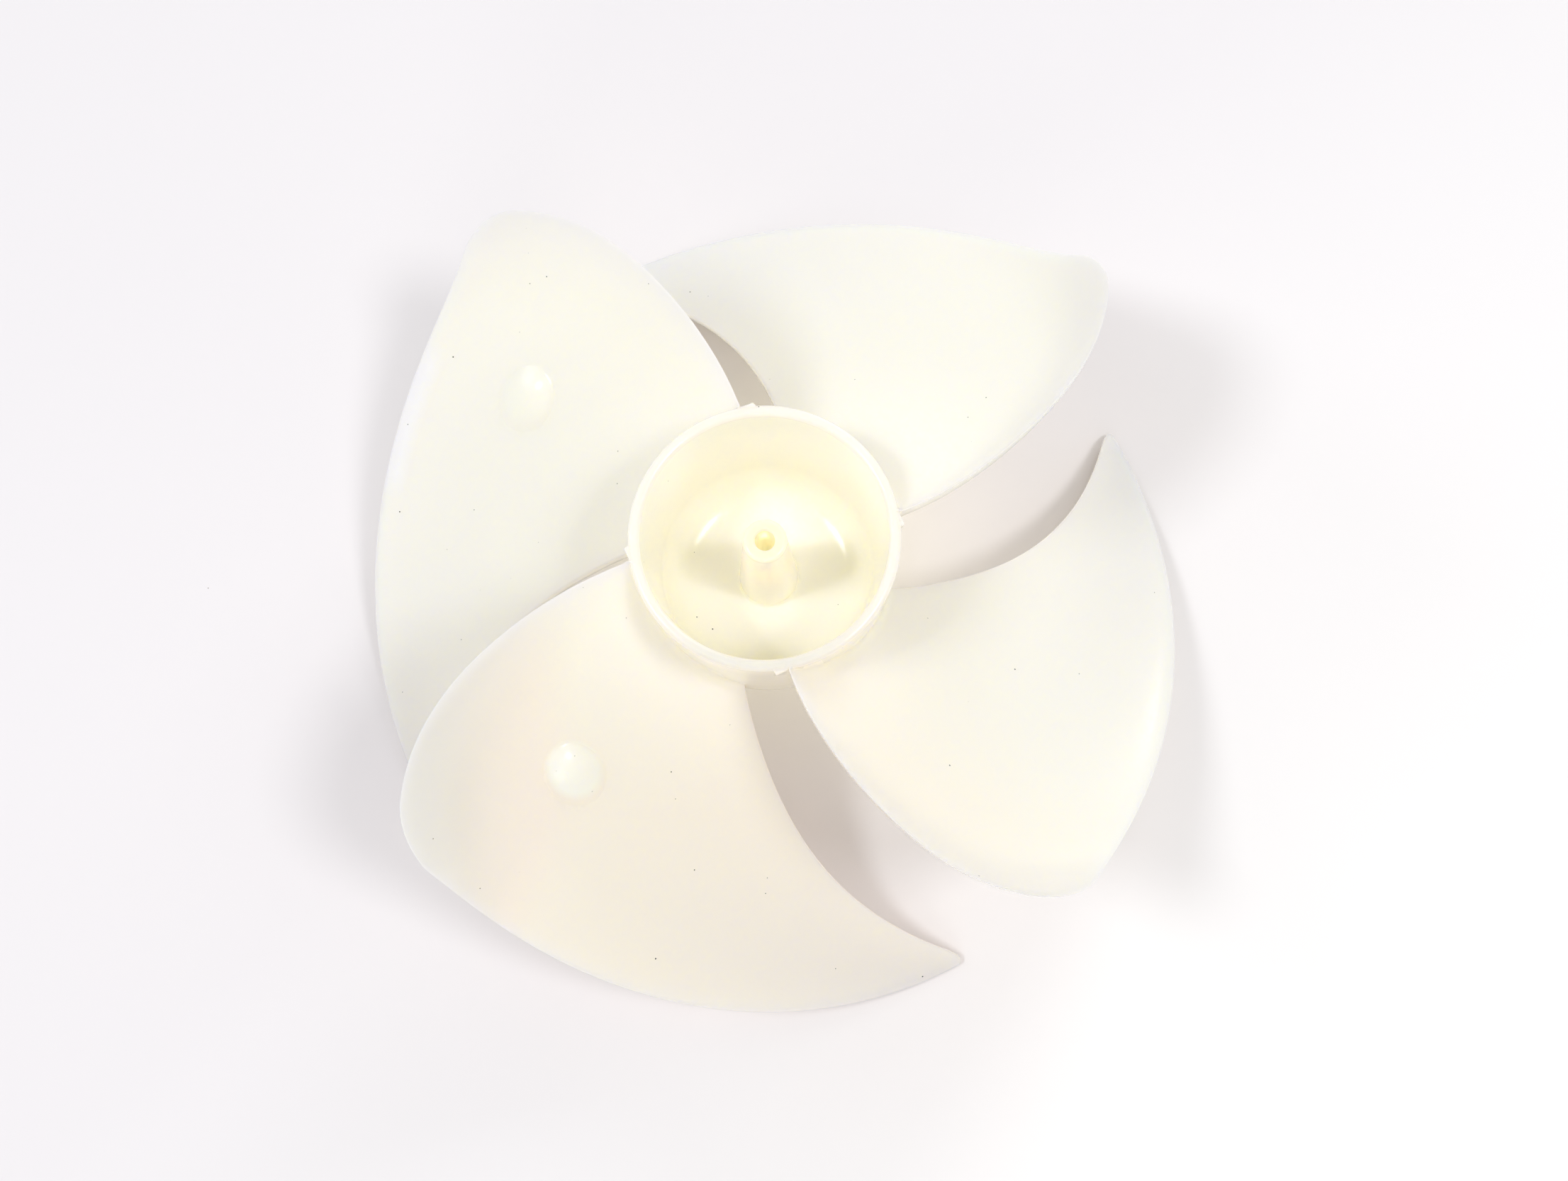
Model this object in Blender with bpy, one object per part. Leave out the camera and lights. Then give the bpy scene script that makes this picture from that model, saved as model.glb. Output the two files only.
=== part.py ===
"""Four-bladed axial fan impeller moulded in one piece of ivory plastic.

The open end of the hub cup faces up and the fan stands on the low tip corners of its blades.
The shaft axis is Z, the floor is Z = 0, and the driving sizes below are in millimetres.
"""
from math import atan2, cos, degrees, hypot, pi, radians, sin

import bmesh
import bpy
import numpy as np
from mathutils import Matrix, Vector

MM = 0.001

# Height of the rim's flat face above the floor, which puts the low tip corners on the floor
RIM_HEIGHT = 54.76

# Hub cup: the wall thins towards the rim because both its faces have moulding draft
RIM_RADIUS = 20.0
RIM_BORE_RADIUS = 18.25
RIM_EDGE_ROUND = 0.4
NOSE_DEPTH = 29.5
NOSE_WALL_RADIUS = 19.0
NOSE_ROUND = 6.0
FLOOR_DEPTH = 27.6
FLOOR_WALL_RADIUS = 16.8
FLOOR_ROUND = 5.0

# Shaft boss, with a blind bore for a 3 mm motor shaft
BOSS_TOP_DEPTH = 3.0
BOSS_TOP_RADIUS = 3.3
BOSS_EDGE_ROUND = 0.3
BOSS_FOOT_RADIUS = 4.7
BOSS_FOOT_ROUND = 0.5
BORE_RADIUS = 1.5
BORE_DEPTH = 25.0

# Blades: five evenly spaced stations from the hub to the tip, each with the sweep angle in
# degrees and the depth below the rim of the high edge and of the low edge, on the upper surface
BLADE_COUNT = 4
TIP_RADIUS = 68.8
HIGH_ANGLES = (10.5, 17.0, 23.5, 30.5, 41.5)
HIGH_DEPTHS = (0.6, 0.0, -1.0, -0.5, 2.5)
LOW_ANGLES = (80.5, 91.0, 99.5, 109.0, 119.5)
LOW_DEPTHS = (21.0, 29.5, 38.0, 46.0, 53.0)
BLADE_ROOT_RADIUS = 18.65
ROOT_THICKNESS = 2.2
TIP_THICKNESS = 1.6
STEEPEST_LEVEL_SHARE = 0.65
HIGH_CORNER_ROUND = 3.5
LOW_CORNER_ROUND = 3.0

# Camber: the section leaves the high edge steeply, with a short curl, and ends level
CAMBER_POWER = 2.1
CURL = 0.18
CURL_WIDTH = 0.06
ROOT_CAMBER = 0.45

# Small tooth on the cup's wall beside the root of each high edge; it stands out most at its peak
LUG_BACK_RADIUS = 19.0
LUG_START_RADIUS = 19.8
LUG_START_ANGLE = 4.8
LUG_PEAK_ANGLE = 6.2
LUG_END_ANGLE = 11.5
LUG_PROUD = 0.75
LUG_TOP_DEPTH = 0.5
LUG_BOTTOM_DEPTH = 4.0

# Low bumps on two neighbouring blades, round when seen along Z: blade number, distance and angle of
# the bump's centre from the shaft axis, and the bump's own radius
BUMPS = ((1, 49.0, 143.9, 4.9), (2, 44.0, 228.2, 4.5))
BUMP_HEIGHT = 1.2
BUMP_SKIRT = 0.8

# Mesh resolution
TURN_STEPS = 60
ARC_STEPS = 5
CORNER_STEPS = 4
BLADE_ROWS = 10
BLADE_COLUMNS = 15
BUMP_STEPS = 20
SHARP_ANGLE = 40.0

# Steps over which the slope of a blade's upper surface is measured
RADIUS_STEP = 0.05
CHORD_STEP = 0.002

PLASTIC_COLOUR = (0.90, 0.87, 0.76, 1.0)
PLASTIC_ROUGHNESS = 0.28

STATIONS = np.linspace(0.0, 1.0, len(HIGH_ANGLES))
STATION_CURVES = {
    name: np.polyfit(STATIONS, values, len(STATIONS) - 1)
    for name, values in {
        "high_angle": HIGH_ANGLES,
        "high_depth": HIGH_DEPTHS,
        "low_angle": LOW_ANGLES,
        "low_depth": LOW_DEPTHS,
    }.items()
}


def clear_scene():
    for existing in list(bpy.data.objects):
        bpy.data.objects.remove(existing, do_unlink=True)


def ivory_plastic():
    material = bpy.data.materials.new("ivory_plastic")
    material.use_nodes = True
    shader = material.node_tree.nodes["Principled BSDF"]
    shader.inputs["Base Color"].default_value = PLASTIC_COLOUR
    shader.inputs["Roughness"].default_value = PLASTIC_ROUGHNESS
    shader.inputs["Metallic"].default_value = 0.0
    return material


def arc(centre, radius, start, end):
    """Points of a circular arc, as radius and height pairs; the angles are in degrees."""
    angles = [radians(start + (end - start) * step / ARC_STEPS) for step in range(ARC_STEPS + 1)]
    return [(centre[0] + radius * cos(angle), centre[1] + radius * sin(angle)) for angle in angles]


def hub_profile():
    """Half section of cup, boss and bore, from the nose's centre round to the bore's bottom."""
    nose = RIM_HEIGHT - NOSE_DEPTH
    floor = RIM_HEIGHT - FLOOR_DEPTH
    boss_top = RIM_HEIGHT - BOSS_TOP_DEPTH
    wall_middle = 0.5 * (RIM_RADIUS + RIM_BORE_RADIUS)
    return [
        (0.0, nose),
        *arc((NOSE_WALL_RADIUS - NOSE_ROUND, nose + NOSE_ROUND), NOSE_ROUND, -90, 0),
        *arc((RIM_RADIUS - RIM_EDGE_ROUND, RIM_HEIGHT - RIM_EDGE_ROUND), RIM_EDGE_ROUND, 0, 90),
        (wall_middle, RIM_HEIGHT),
        *arc((RIM_BORE_RADIUS + RIM_EDGE_ROUND, RIM_HEIGHT - RIM_EDGE_ROUND), RIM_EDGE_ROUND, 90, 180),
        *arc((FLOOR_WALL_RADIUS - FLOOR_ROUND, floor + FLOOR_ROUND), FLOOR_ROUND, 0, -90),
        *arc((BOSS_FOOT_RADIUS + BOSS_FOOT_ROUND, floor + BOSS_FOOT_ROUND), BOSS_FOOT_ROUND, 270, 180),
        *arc((BOSS_TOP_RADIUS - BOSS_EDGE_ROUND, boss_top - BOSS_EDGE_ROUND), BOSS_EDGE_ROUND, 0, 90),
        (BORE_RADIUS, boss_top),
        (BORE_RADIUS, RIM_HEIGHT - BORE_DEPTH),
        (0.0, RIM_HEIGHT - BORE_DEPTH),
    ]


def turned_mesh(profile):
    """Closed solid from a profile that starts and ends on the Z axis, turned round that axis."""
    bm = bmesh.new()
    points = [bm.verts.new((radius * MM, 0.0, height * MM)) for radius, height in profile]
    edges = [bm.edges.new(pair) for pair in zip(points, points[1:])]
    bmesh.ops.spin(
        bm,
        geom=points + edges,
        axis=(0, 0, 1),
        cent=(0, 0, 0),
        angle=2 * pi,
        steps=TURN_STEPS,
        use_merge=True,
    )
    bmesh.ops.remove_doubles(bm, verts=bm.verts, dist=0.001 * MM)
    bmesh.ops.recalc_face_normals(bm, faces=bm.faces)
    return bm


def station_value(name, span):
    """Value of one edge curve at a fraction of the way from the hub to the tip."""
    return float(np.polyval(STATION_CURVES[name], span))


def section_fall(chord, span):
    """Fraction of the section's fall reached at a fraction of the way from high to low edge."""
    curl = CURL * (1 - np.exp(-chord / CURL_WIDTH)) * (1 - chord) ** 3
    cambered = 1 - (1 - chord) ** CAMBER_POWER + curl
    share = ROOT_CAMBER + (1 - ROOT_CAMBER) * min(max(span, 0.0), 1.0)
    return (1 - share) * chord + share * cambered


def blade_top(radius, chord):
    """Point of the first blade's upper surface at a radius and a fraction across the blade."""
    span = (radius - RIM_RADIUS) / (TIP_RADIUS - RIM_RADIUS)
    high_angle, low_angle = station_value("high_angle", span), station_value("low_angle", span)
    high_depth, low_depth = station_value("high_depth", span), station_value("low_depth", span)
    angle = radians(high_angle + (low_angle - high_angle) * chord)
    depth = high_depth + (low_depth - high_depth) * section_fall(chord, span)
    return Vector((radius * cos(angle), radius * sin(angle), RIM_HEIGHT - depth))


def blade_normal(radius, chord):
    """Upward unit normal of the upper surface."""
    before, after = max(chord - CHORD_STEP, 0.0), min(chord + CHORD_STEP, 1.0)
    outward = blade_top(radius + RADIUS_STEP, chord) - blade_top(radius - RADIUS_STEP, chord)
    sideways = blade_top(radius, after) - blade_top(radius, before)
    return outward.cross(sideways).normalized()


def vertical_thickness(radius, chord):
    """Thickness measured along Z, because the mould opens along Z and leaves upright edges."""
    span = (radius - RIM_RADIUS) / (TIP_RADIUS - RIM_RADIUS)
    thickness = ROOT_THICKNESS + (TIP_THICKNESS - ROOT_THICKNESS) * max(span, 0.0)
    return thickness / max(blade_normal(radius, chord).z, STEEPEST_LEVEL_SHARE)


def corner_round(size):
    """Distances along the tip, from a blade's edge, with the cut from the tip radius at each."""
    turns = [0.5 * pi * step / CORNER_STEPS for step in range(CORNER_STEPS + 1)]
    return [(size * (1 - cos(turn)), size * (1 - sin(turn))) for turn in turns]


def tip_columns():
    """Fractions across the blade with the tip radius at each, rounded at the two tip corners."""
    tip_arc = radians(LOW_ANGLES[-1] - HIGH_ANGLES[-1]) * TIP_RADIUS
    high = [(along / tip_arc, cut) for along, cut in corner_round(HIGH_CORNER_ROUND)]
    low = [(1 - along / tip_arc, cut) for along, cut in corner_round(LOW_CORNER_ROUND)]
    start, end = high[-1][0], low[-1][0]
    middle = [(start + (end - start) * step / BLADE_COLUMNS, 0.0) for step in range(1, BLADE_COLUMNS)]
    return [(chord, TIP_RADIUS - cut) for chord, cut in high + middle + low[::-1]]


def blade_mesh():
    """First blade as a closed plate that hangs below its upper surface."""
    bm = bmesh.new()
    upper, lower = [], []
    for chord, tip_radius in tip_columns():
        upper.append([])
        lower.append([])
        for row in range(BLADE_ROWS + 1):
            radius = BLADE_ROOT_RADIUS + (tip_radius - BLADE_ROOT_RADIUS) * row / BLADE_ROWS
            top = blade_top(radius, chord)
            bottom = top - Vector((0, 0, vertical_thickness(radius, chord)))
            upper[-1].append(bm.verts.new(top * MM))
            lower[-1].append(bm.verts.new(bottom * MM))
    for columns in (upper, lower):
        for left, right in zip(columns, columns[1:]):
            for row in range(BLADE_ROWS):
                bm.faces.new((left[row], left[row + 1], right[row + 1], right[row]))
    boundary = [edge for edge in bm.edges if edge.is_boundary]
    bmesh.ops.bridge_loops(bm, edges=boundary)
    bmesh.ops.recalc_face_normals(bm, faces=bm.faces)
    return bm


def lug_mesh():
    """Tooth on the cup's wall beside the first blade's high edge."""
    bm = bmesh.new()
    outline = (
        (LUG_BACK_RADIUS, LUG_START_ANGLE),
        (LUG_START_RADIUS, LUG_START_ANGLE),
        (RIM_RADIUS + LUG_PROUD, LUG_PEAK_ANGLE),
        (RIM_RADIUS, LUG_END_ANGLE),
        (LUG_BACK_RADIUS, LUG_END_ANGLE),
    )
    corners = []
    for depth in (LUG_TOP_DEPTH, LUG_BOTTOM_DEPTH):
        for radius, angle in outline:
            turn = radians(angle)
            corner = Vector((radius * cos(turn), radius * sin(turn), RIM_HEIGHT - depth))
            corners.append(bm.verts.new(corner * MM))
    bmesh.ops.convex_hull(bm, input=corners)
    return bm


def blade_top_above(x, y):
    """Point of the first blade's upper surface straight above a place in plan."""
    radius = hypot(x, y)
    span = (radius - RIM_RADIUS) / (TIP_RADIUS - RIM_RADIUS)
    high, low = station_value("high_angle", span), station_value("low_angle", span)
    return blade_top(radius, (degrees(atan2(y, x)) - high) / (low - high))


def bump_mesh(distance, angle, size):
    """Shallow cap that follows the first blade's upper surface, with a skirt inside the blade."""
    bm = bmesh.new()
    middle = Vector((distance * cos(radians(angle)), distance * sin(radians(angle)), 0.0))

    def ring(share, lift):
        points = []
        for step in range(BUMP_STEPS):
            turn = 2 * pi * step / BUMP_STEPS
            place = middle + Vector((cos(turn), sin(turn), 0.0)) * size * share
            points.append(bm.verts.new((blade_top_above(place.x, place.y) + Vector((0, 0, lift))) * MM))
        return points

    centre = blade_top_above(middle.x, middle.y)
    peak = bm.verts.new((centre + Vector((0, 0, BUMP_HEIGHT))) * MM)
    foot = bm.verts.new((centre - Vector((0, 0, BUMP_SKIRT))) * MM)
    shares = [step / ARC_STEPS for step in range(1, ARC_STEPS + 1)]
    rings = [ring(share, BUMP_HEIGHT * (1 - share**2)) for share in shares]
    rings.append(ring(1.0, -BUMP_SKIRT))
    for step in range(BUMP_STEPS):
        after = (step + 1) % BUMP_STEPS
        bm.faces.new((peak, rings[0][step], rings[0][after]))
        bm.faces.new((foot, rings[-1][after], rings[-1][step]))
        for inner, outer in zip(rings, rings[1:]):
            bm.faces.new((inner[step], outer[step], outer[after], inner[after]))
    bmesh.ops.recalc_face_normals(bm, faces=bm.faces)
    return bm


def mesh_object(name, bm, material, collection):
    mesh = bpy.data.meshes.new(name)
    bm.to_mesh(mesh)
    bm.free()
    mesh.shade_smooth()
    mesh.set_sharp_from_angle(angle=radians(SHARP_ANGLE))
    mesh.materials.append(material)
    obj = bpy.data.objects.new(name, mesh)
    collection.objects.link(obj)
    return obj


def joined_shape(name, bm, material, collection, placement):
    """Shape that is fused into the moulding, and so isn't a piece of its own."""
    obj = mesh_object(name, bm, material, collection)
    obj.matrix_world = placement
    obj.hide_render = True
    obj.display_type = "WIRE"
    return obj


def build():
    clear_scene()
    plastic = ivory_plastic()
    scene_collection = bpy.context.scene.collection
    shapes = bpy.data.collections.new("fused_shapes")
    scene_collection.children.link(shapes)

    impeller = mesh_object("fan_impeller", turned_mesh(hub_profile()), plastic, scene_collection)
    for blade in range(BLADE_COUNT):
        turn = Matrix.Rotation(2 * pi * blade / BLADE_COUNT, 4, "Z")
        joined_shape(f"blade_{blade + 1}", blade_mesh(), plastic, shapes, turn)
        joined_shape(f"lug_{blade + 1}", lug_mesh(), plastic, shapes, turn)
    for blade, distance, angle, size in BUMPS:
        bump = bump_mesh(distance, angle - 360.0 / BLADE_COUNT * blade, size)
        turn = Matrix.Rotation(2 * pi * blade / BLADE_COUNT, 4, "Z")
        joined_shape(f"bump_{blade + 1}", bump, plastic, shapes, turn)

    union = impeller.modifiers.new("fuse_blades_and_lugs", "BOOLEAN")
    union.operation = "UNION"
    union.solver = "EXACT"
    union.operand_type = "COLLECTION"
    union.collection = shapes


build()
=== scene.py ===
"""Four-bladed axial fan impeller, one moulding of ivory plastic, on a plain pale studio floor.

The impeller stands on the low tip corners of its blades, with the open end of its hub cup up.
The shaft axis is Z and the floor is Z = 0. Lengths are in metres, but the defaults of the settings are
written in millimetres.
"""
from math import cos, pi, prod, radians, sin

import bmesh
import bpy
import numpy as np
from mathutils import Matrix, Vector
from mathutils.bvhtree import BVHTree


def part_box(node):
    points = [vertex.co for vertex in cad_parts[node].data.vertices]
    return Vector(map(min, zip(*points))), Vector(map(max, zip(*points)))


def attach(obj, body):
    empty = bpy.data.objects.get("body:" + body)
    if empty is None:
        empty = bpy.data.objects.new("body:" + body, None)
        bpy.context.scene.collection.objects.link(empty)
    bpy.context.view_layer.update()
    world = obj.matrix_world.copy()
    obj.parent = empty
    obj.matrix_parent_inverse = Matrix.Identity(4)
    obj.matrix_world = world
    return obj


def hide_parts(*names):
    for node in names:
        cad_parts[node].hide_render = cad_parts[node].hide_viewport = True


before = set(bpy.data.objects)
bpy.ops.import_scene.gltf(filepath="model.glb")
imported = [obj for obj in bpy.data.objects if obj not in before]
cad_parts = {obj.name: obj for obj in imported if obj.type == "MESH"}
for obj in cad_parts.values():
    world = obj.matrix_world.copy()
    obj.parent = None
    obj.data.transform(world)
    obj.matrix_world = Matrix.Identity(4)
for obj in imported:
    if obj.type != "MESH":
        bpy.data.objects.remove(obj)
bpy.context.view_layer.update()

bl_info = {
    "name": "Axial fan impeller",
    "version": (1, 0, 0),
    "blender": (4, 5, 0),
    "location": "View3D > Sidebar > Impeller",
    "description": "Makes a four-bladed fan impeller and the studio around it",
    "category": "Add Mesh",
}

MM = 0.001
CAD_NODE = "fan_impeller"
CAD_BODY = "root"
CAD_LOW, CAD_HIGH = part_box(CAD_NODE)

# Half of the solid's width in millimetres, less a hair, so that the smooth tips stay inside its box
TIP_RADIUS = 0.5 * (CAD_HIGH[0] - CAD_LOW[0]) / MM - 0.005

# Blade stations from the hub to the tip
KNOTS = (0.0, 0.25, 0.5, 0.75, 1.0)

# Place that the lights are aimed at, and how far away the soft ones stand
AIM = Vector((0.0, 0.0, 0.03))
LIGHT_DISTANCE = 0.85

# Soft lights: name, turn and tilt in degrees, diameter in metres, power in watts and tint
SOFT_LIGHTS = (
    ("right_light", 342, 27, 0.20, 1.82, (1.0, 0.98, 0.97)),
    ("left_light", 188, 30, 0.20, 1.78, (0.97, 0.985, 1.0)),
    ("near_light", 300, 30, 0.40, 0.35, (1.0, 0.90, 0.84)),
    ("front_light", 265, 60, 0.40, 0.65, (1.0, 0.94, 0.88)),
    ("back_light", 64, 60, 0.40, 1.68, (1.0, 1.0, 0.99)),
    ("low_light", 160, 60, 0.40, 0.75, (1.0, 1.0, 1.0)),
)

# Narrow lights into the cup: name, turn and tilt in degrees and power in watts, then their distance
CUP_LIGHTS = (
    ("cup_light", 248, 13, 1.9),
    ("cup_left_light", 193, 26, 4.2),
    ("cup_right_light", 349, 26, 2.8),
)
CUP_LIGHT_DISTANCE = 0.57

# Tints of the narrow lights, and of the light that comes through the nose and the boss
CUP_TINT = (1.0, 0.97, 0.95)
UNDER_TINT = (1.0, 0.98, 0.5)
BORE_TINT = (1.0, 0.64, 0.14)

# Camera: place in metres, tilt and turn in degrees, focal length and sensor width in millimetres
CAMERA_PLACE = (0.0071, -0.0608, 0.29876)
CAMERA_TILT = 12.164
CAMERA_TURN = 0.963
CAMERA_LENS = 39.65
SENSOR_WIDTH = 36.0

# Clouds per metre, and dust specks: cells per metre, share of cells without one, and size in a cell
PLASTIC_CLOUDS = 28.0
PAPER_CLOUDS = 6.0
PLASTIC_DUST = {"Cells": 350.0, "Rarity": 0.6, "Size": 0.035}
PAPER_DUST = {"Cells": 60.0, "Rarity": 0.96, "Size": 0.012}

# Two angles in radians that take in the whole turn
ALL_ROUND = (-4.0, 4.0)

# Output of a geometry tree
GEOMETRY = {"Geometry": "NodeSocketGeometry"}

# Factor that turns a small number into a switch between nothing and all
SWITCH = 1000.0

# Points closer than this are merged; the fine distance is for pieces before they are fused
MERGE_DISTANCE = 0.001 * MM
FINE_DISTANCE = 0.1 * MERGE_DISTANCE


def label_of(name):
    """Label of a setting, in the sidebar and on the nodes that it feeds."""
    return name.replace("_", " ").title()


def plain(description, default, **more):
    return bpy.props.FloatProperty(description=description, default=default, **more)


def several(description, default, **more):
    size = len(default)
    return bpy.props.FloatVectorProperty(description=description, default=default, size=size, **more)


def length(description, default):
    return plain(description, default * MM, unit="LENGTH", precision=5)


def lengths(description, default):
    return several(description, [value * MM for value in default], unit="LENGTH", precision=5)


def angle(description, default):
    return plain(description, radians(default), subtype="ANGLE")


def angles(description, default):
    return several(description, [radians(value) for value in default], unit="ROTATION")


def factor(description, default):
    return plain(description, default, min=0.0, max=1.0, subtype="FACTOR")


def whole(description, default):
    return bpy.props.IntProperty(description=description, default=default, min=1)


def colour(description, default):
    return several(description, default, min=0.0, max=1.0, subtype="COLOR")


class HubSizes(bpy.types.PropertyGroup):
    rim_height: length("Height of the rim above the floor", 54.76)
    rim_radius: length("Outer radius of the rim", 20.0)
    rim_bore: length("Inner radius of the rim", 18.25)
    rim_round: length("Rounding of the rim's two edges", 0.75)
    nose_depth: length("Closed end of the hub, below the rim", 29.5)
    nose_radius: length("Radius of the outer wall at the nose", 19.0)
    nose_round: length("Rounding of the nose", 6.0)
    floor_depth: length("Floor of the cup, below the rim", 27.6)
    floor_radius: length("Radius of the cup at its floor", 16.8)
    floor_round: length("Rounding between its wall and floor", 7.0)
    floor_softness: plain("Power of that rounding's curve; a circle has 2", 2.8)
    boss_depth: length("Free end of the shaft boss, below the rim", 3.0)
    boss_radius: length("Radius of the boss at its free end", 3.3)
    boss_round: length("Rounding of the boss's free end", 0.6)
    foot_radius: length("Radius of the boss at the cup's floor", 4.7)
    foot_round: length("Rounding where the boss meets the floor", 0.5)
    bore_radius: length("Radius of the shaft bore", 1.5)
    bore_round: length("Rounding of the bore's mouth", 0.3)
    bore_depth: length("Bottom of the bore, below the rim", 25.0)
    turn_steps: whole("Faces round the hub", 192)
    arc_steps: whole("Faces along each rounding", 10)
    straight_steps: whole("Faces along each straight", 4)


class BladeSizes(bpy.types.PropertyGroup):
    count: whole("Number of blades", 4)
    tip_radius: length("Radius swept by the tips", TIP_RADIUS)
    high_angle: angles("Sweep of the high edge at each station", (10.5, 17.0, 23.5, 30.5, 41.5))
    low_angle: angles("Sweep of the low edge at each station", (80.5, 91.0, 99.5, 109.0, 119.5))
    high_depth: lengths("Depth of the high edge at each station", (0.6, 0.0, -1.0, -0.5, 2.5))
    low_depth: lengths("Depth of the low edge at each station", (21.0, 29.5, 38.0, 46.0, 53.0))
    camber_power: plain("How early the section falls", 2.1)
    curl: plain("Extra fall close to the high edge", 0.18)
    curl_width: plain("Share of the section that the curl takes", 0.06)
    root_camber: factor("Share of the camber left at the hub", 0.45)
    root_thickness: length("Thickness at the hub", 2.2)
    tip_thickness: length("Thickness at the tip", 1.6)
    steepest_share: factor("Level share of the steepest slope that thickness allows for", 0.65)
    high_corner: length("Rounding of the tip's high corner", 3.5)
    low_corner: length("Rounding of the tip's low corner", 3.0)
    edge_round: length("Rounding along the high and low edges", 0.3)
    tip_round: length("How far the rounding along the tip drops", 0.95)
    tip_flatness: factor("Drop of the tip's rounding over its width", 0.4)
    fillet: length("Fillet where a blade meets the hub", 1.6)
    under_fillet: factor("Fillet below as a share of the one above", 0.6)
    buried_root: length("How far the root reaches into the hub's wall", 0.35)
    rim_gap: length("Least depth of the fillet below the rim", 0.1)
    rows: whole("Faces from the hub to the tip", 72)
    columns: whole("Faces across one side of a blade", 96)


class ToothSizes(bpy.types.PropertyGroup):
    start: angle("Angle at which the tooth leaves the wall", 4.0)
    peak: angle("Angle at which it stands out most", 5.1)
    end: angle("Angle at which it is back in the wall", 10.6)
    proud: length("How far the peak stands out of the wall", 0.65)
    blend: factor("Softness of the peak", 0.2)
    top: length("Top of the tooth, below the rim", 0.15)
    bottom: length("Bottom of the tooth, below the rim", 4.0)
    lip: length("Rounding of the tooth's top", 0.8)
    back: length("Depth of the tooth's back inside the wall", 0.8)
    rows: whole("Faces down the tooth", 16)
    columns: whole("Faces across one side of the tooth", 24)


class BumpSizes(bpy.types.PropertyGroup):
    distances: lengths("Distance of each bump from the shaft axis", (49.0, 44.0))
    places: angles("Angle of each bump round the shaft axis", (143.9, 228.2))
    radii: lengths("Radius of each bump, seen from above", (4.9, 4.5))
    height: length("Height of a bump above the blade", 1.8)
    softness: plain("How softly a bump runs out into the blade", 1.15)
    skirt: length("Depth of a bump's foot inside the blade", 0.6)
    rings: whole("Rings of faces on a bump", 12)
    steps: whole("Faces round a bump", 48)


# Look of the plastic: its real finish, dust and cloudy tone, and the tones that are painted light and
# painted shade
class PlasticFinish(bpy.types.PropertyGroup):
    light_tone: colour("Lighter tone of the plastic", (0.995, 0.909, 0.799))
    warm_tone: colour("Warmer tone of the plastic", (0.994, 0.904, 0.792))
    # Painted shade: a warmer, darker tone on the front-left blade, standing in for the warm shade on it
    aged_tone: colour("Tone of the side that has aged more", (0.995, 0.835, 0.735))
    dust_tone: colour("Colour of the dust specks", (0.10, 0.085, 0.06))
    # Painted shade: a grey tone on the high edge of the front-left blade
    stain_tone: colour("Tone of the most aged high edge", (0.66, 0.69, 0.685))
    # Where the painted warm shade starts and is full
    aged_front: lengths("Start and full strength of the warmer side", (0.0, 38.0))
    aged_side: lengths("The same from right to left, on a slant", (34.0, -8.0))
    # Where the painted grey shade on that high edge starts and is full
    stain_left: lengths("Start and full strength to the left", (28.0, 54.0))
    stain_front: lengths("The same towards the front", (2.0, 14.0))
    stain_height: lengths("The same upwards", (27.0, 33.0))
    # Painted shade on the rim: darker on its top and darkest on its near side; the first setting is where
    # that near side starts and is full
    handled_front: lengths("The same for the rim's near side", (8.0, 18.0))
    worn_tone: colour("Tone of the rim, dulled by handling", (0.775, 0.73, 0.665))
    handled_tone: colour("Tone of the rim's near side, the dullest", (0.65, 0.64, 0.60))
    # Painted highlight on the bumps
    bump_tone: colour("Paler tone on the bumps", (0.992, 0.925, 0.815))
    # Painted shade on the boss's end
    boss_tone: colour("Tone of the boss's end, dulled too", (0.74, 0.69, 0.55))
    # How far below the rim and the boss's end their painted shade goes
    worn_depth: length("How far below an end its dull tone goes", 1.2)
    # Painted highlight along the tips, for the reflection on their rounded edges
    tip_tone: colour("Paler tone along the tips", (0.985, 0.935, 0.79))
    tip_width: length("Width of the paler tone along the tips", 2.2)
    # Painted highlight: a white streak on one tip, for the reflection of a light, with its width and its
    # ends
    rubbed_tone: colour("Tone where one tip is rubbed white", (1.0, 0.975, 0.88))
    rubbed_width: length("Width of the rubbed place", 4.2)
    rubbed_ends: angles("Where the rubbed place starts and ends", (146.0, 164.0))
    roughness: factor("Roughness of the plastic", 0.18)
    refraction: plain("Index of refraction of the plastic", 1.49)
    depth: length("How far light goes into the plastic", 5.0)
    depth_tint: colour("Share of that depth for red, green and blue", (1.0, 0.95, 0.6))
    # Painted light: the cup's tones are lighter than the moulding's
    cup_tone: colour("Lighter tone inside the cup", (0.996, 0.949, 0.812))
    cup_warm_tone: colour("Warmer tone inside the cup", (0.995, 0.944, 0.803))
    cup_glow: length("How far light goes in the cup", 4.5)
    # Painted glow: deep yellow tones inside the bore, for the light that comes through the boss
    bore_tone: colour("Lighter tone inside the bore", (1.0, 0.87, 0.27))
    bore_warm_tone: colour("Warmer tone inside the bore", (1.0, 0.86, 0.25))
    bore_glow: length("How far light goes in the bore", 60.0)


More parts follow.
